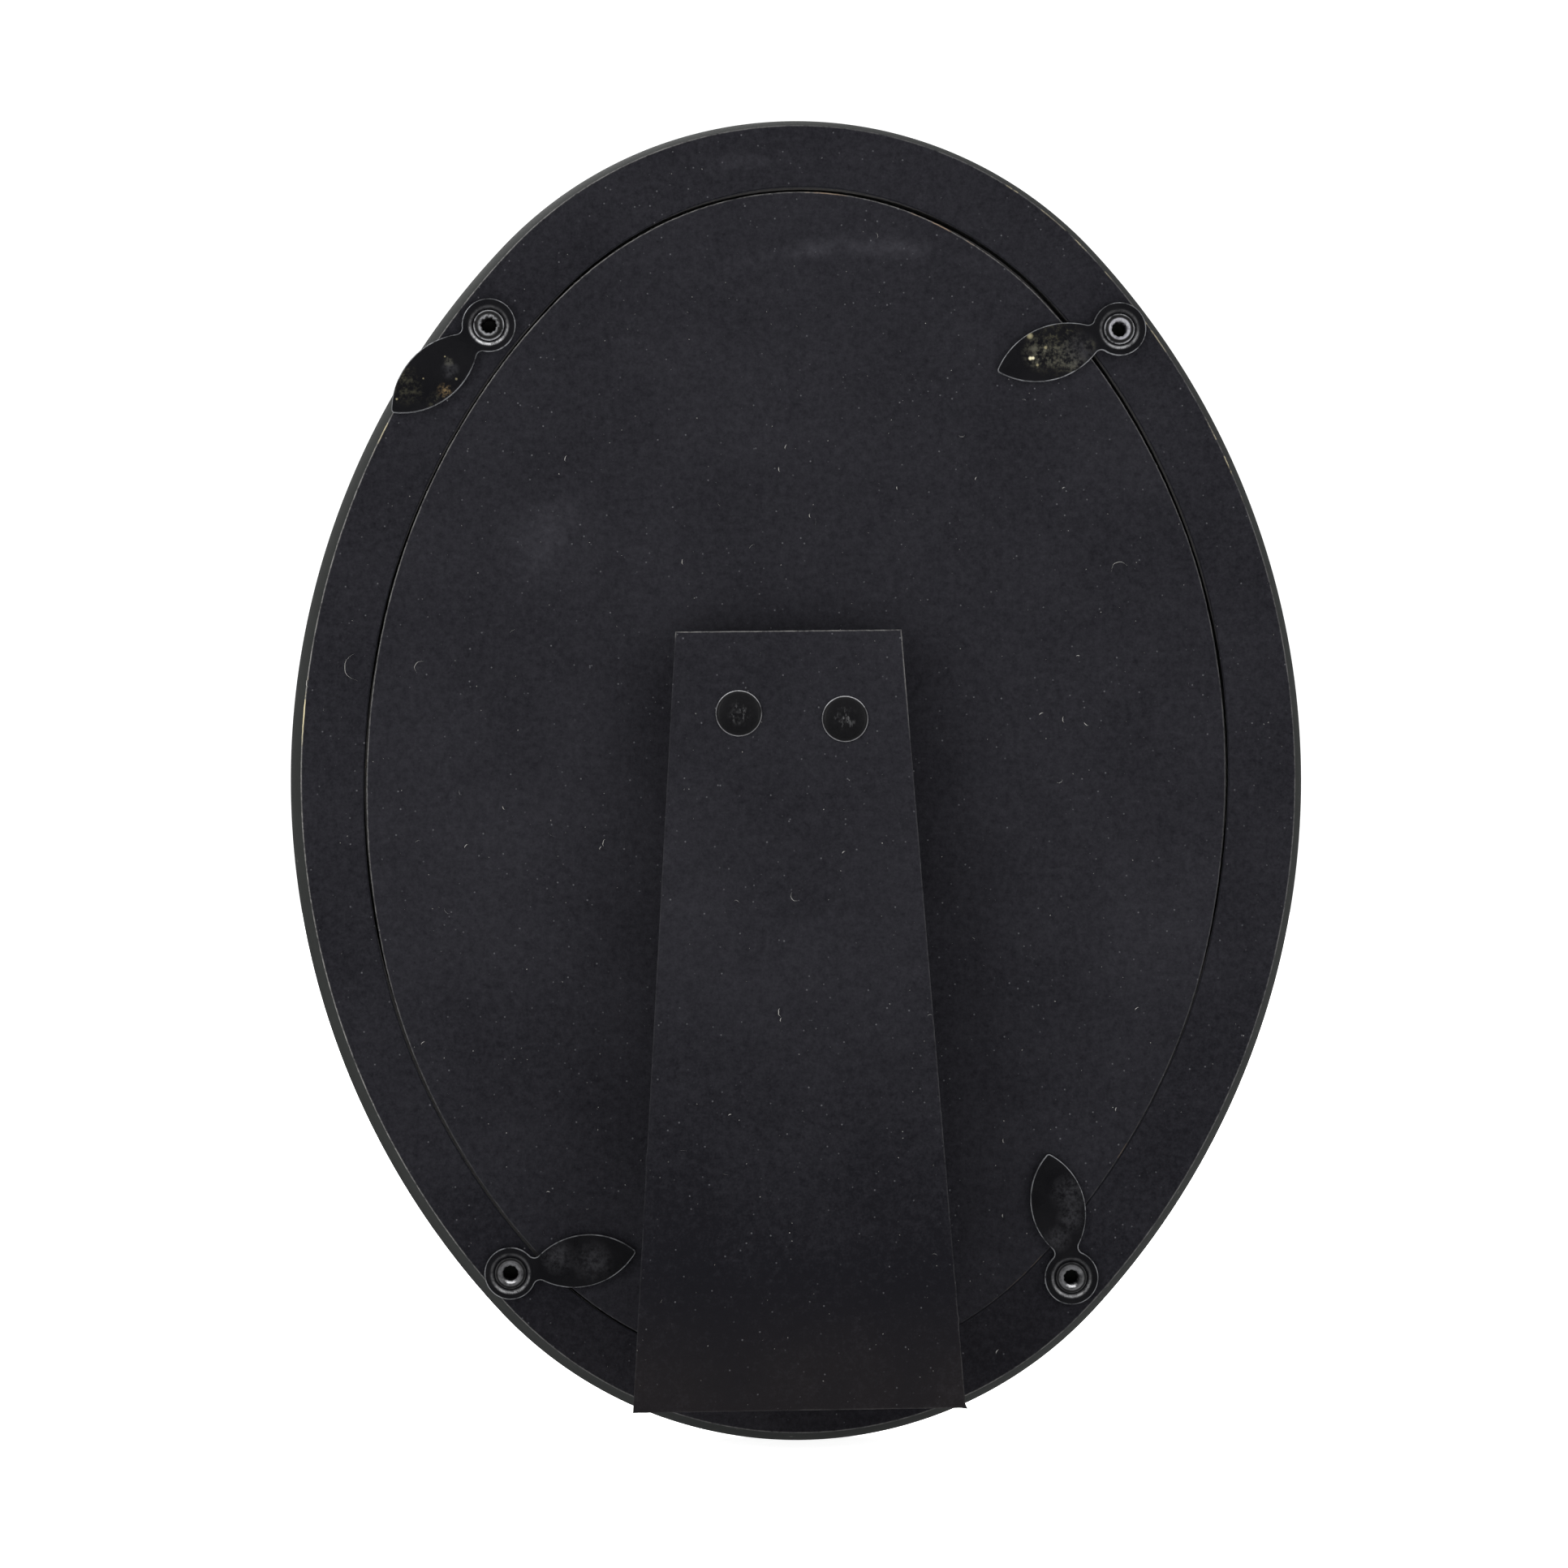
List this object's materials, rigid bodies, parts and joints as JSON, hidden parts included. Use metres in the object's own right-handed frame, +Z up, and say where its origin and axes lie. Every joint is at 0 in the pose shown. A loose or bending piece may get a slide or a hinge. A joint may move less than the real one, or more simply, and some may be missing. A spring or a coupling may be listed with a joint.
{
  "type": "oval picture frame",
  "caption": "Oval table-top picture frame, shown from its flocked back, with a removable board held by turn buttons and a tapered strut on a riveted hinge.",
  "frame": {"origin": "middle of the oval's width and of the whole depth, at the frame's lowest point", "axes": "+Z up the picture, -Y the way the picture faces, +Y the side of the strut"},
  "size_m": [0.1574, 0.0323, 0.2053],
  "materials": {
    "lacquered_wood": "satin black lacquer",
    "ring_fibreboard": "bare sawn fibreboard",
    "board_fibreboard": "bare sawn fibreboard",
    "strut_fibreboard": "black-stained fibreboard",
    "black_flock": "matt flocked paper",
    "strut_flock": "matt flocked paper",
    "clear_glass": "polished",
    "ivory_card": "matt, blank",
    "grey_card": "matt grey board",
    "dull_steel": "dull zinc plated",
    "black_rivet": "satin black enamel",
    "black_eyelet": "worn black enamel",
    "black_button": "worn glossy black enamel"
  },
  "bodies": {
    "frame": {"front_moulding": "lacquered_wood", "carrier_ring": "ring_fibreboard", "ring_flock": "black_flock", "glass_pane": "clear_glass", "picture_card": "ivory_card", "filler_card": "grey_card", "backing_board": "board_fibreboard", "board_flock": "black_flock", "hinge_base_leaf": "dull_steel", "hinge_pin": "dull_steel", "hinge_rivet_left": "dull_steel", "hinge_rivet_right": "dull_steel", "eyelet_upper_left": "black_eyelet", "eyelet_upper_right": "black_eyelet", "eyelet_lower_left": "black_eyelet", "eyelet_lower_right": "black_eyelet"},
    "strut": {"strut_board": "strut_fibreboard", "strut_flock_inner": "black_flock", "strut_flock_outer": "strut_flock", "hinge_strut_leaf": "dull_steel", "strut_rivet_left": "black_rivet", "strut_rivet_right": "black_rivet"},
    "button_upper_left": {"turn_button_upper_left": "black_button"},
    "button_upper_right": {"turn_button_upper_right": "black_button"},
    "button_lower_left": {"turn_button_lower_left": "black_button"},
    "button_lower_right": {"turn_button_lower_right": "black_button"}
  },
  "joints": [
    {"name": "strut_hinge", "type": "hinge", "parent": "frame", "child": "strut", "pos_m": [0.00188, 0.00151, 0.11852], "axis": [0.9999, 0, -0.0113], "range_deg": [-5, 25]},
    {"name": "button_upper_left_turn", "type": "hinge", "parent": "frame", "child": "button_upper_left", "pos_m": [0.04762, -0.00014, 0.17163], "axis": [0, 1, 0], "continuous": true},
    {"name": "button_upper_right_turn", "type": "hinge", "parent": "frame", "child": "button_upper_right", "pos_m": [-0.04909, -0.00014, 0.17146], "axis": [0, 1, 0], "continuous": true},
    {"name": "button_lower_left_turn", "type": "hinge", "parent": "frame", "child": "button_lower_left", "pos_m": [0.04407, -0.00014, 0.02705], "axis": [0, 1, 0], "continuous": true},
    {"name": "button_lower_right_turn", "type": "hinge", "parent": "frame", "child": "button_lower_right", "pos_m": [-0.04146, -0.00014, 0.02615], "axis": [0, 1, 0], "continuous": true}
  ]
}
